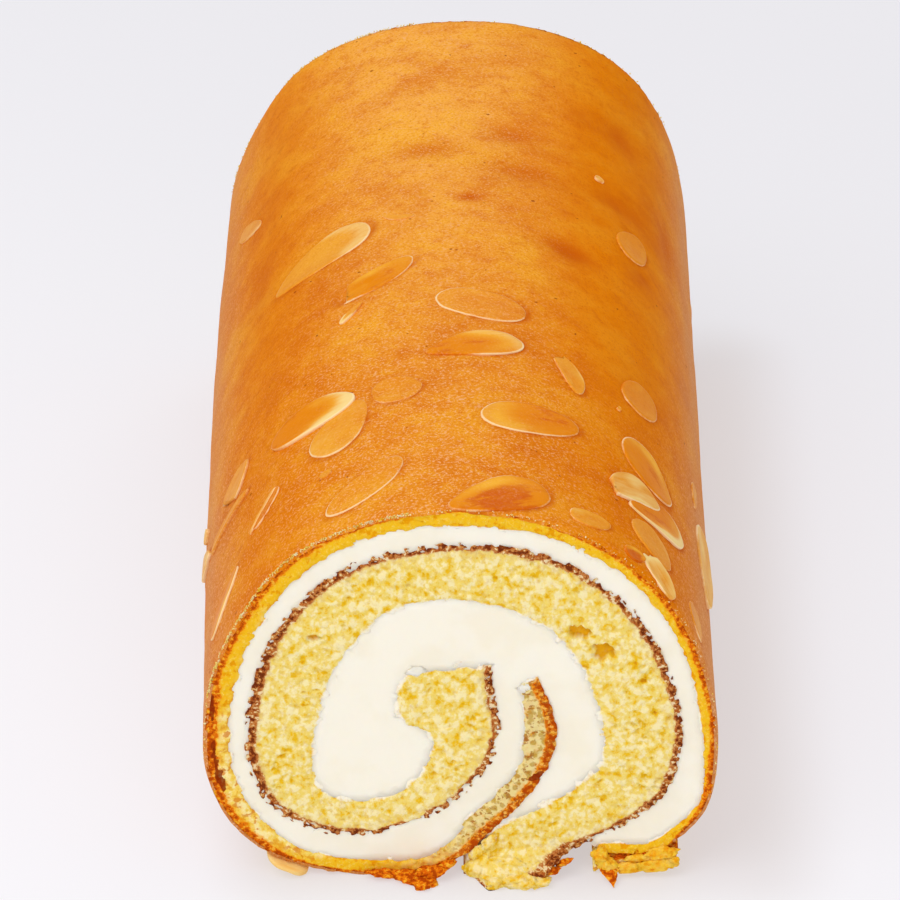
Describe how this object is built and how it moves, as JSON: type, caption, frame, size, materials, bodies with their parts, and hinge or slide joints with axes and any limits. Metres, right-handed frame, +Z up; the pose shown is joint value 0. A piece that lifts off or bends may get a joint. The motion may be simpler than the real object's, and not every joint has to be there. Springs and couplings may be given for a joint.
{
  "type": "swiss roll cake",
  "caption": "Swiss roll cake cut square at both ends: a thin browned outer sheet and a thick inner sheet of sponge rolled in a spiral with cream, almond flakes on the skin.",
  "frame": {"origin": "middle of the underside's bounding box, on the table", "axes": "+Z up, roll axis along Y with the cut face that shows towards -Y, +X to the right of that face"},
  "size_m": [0.0934, 0.1772, 0.0775],
  "materials": {
    "wrap_sponge": "soft egg yellow sponge with a fine smooth browned skin",
    "inner_sponge": "open pale yellow crumb with a dark browned crust line",
    "cream": "smooth satin whipped cream",
    "almond": "glazed translucent amber flake with a pale rim"
  },
  "bodies": {
    "root": {"almond_flake_01": "almond", "almond_flake_02": "almond", "almond_flake_03": "almond", "almond_flake_04": "almond", "almond_flake_05": "almond", "almond_flake_06": "almond", "almond_flake_07": "almond", "almond_flake_08": "almond", "almond_flake_09": "almond", "almond_flake_10": "almond", "almond_flake_11": "almond", "almond_flake_12": "almond", "almond_flake_13": "almond", "almond_flake_14": "almond", "almond_flake_15": "almond", "almond_flake_16": "almond", "almond_flake_17": "almond", "almond_flake_18": "almond", "almond_flake_19": "almond", "almond_flake_20": "almond", "almond_flake_21": "almond", "almond_flake_22": "almond", "almond_flake_23": "almond", "almond_flake_24": "almond", "almond_flake_25": "almond", "almond_flake_26": "almond", "almond_flake_27": "almond", "almond_flake_28": "almond", "almond_flake_29": "almond", "almond_flake_30": "almond", "almond_flake_31": "almond", "almond_flake_32": "almond", "almond_flake_33": "almond", "almond_flake_34": "almond", "almond_flake_35": "almond", "almond_flake_36": "almond", "almond_flake_37": "almond", "almond_flake_caught": "almond", "cream_filling": "cream", "inner_sponge": "inner_sponge", "outer_wrap": "wrap_sponge"}
  },
  "joints": []
}
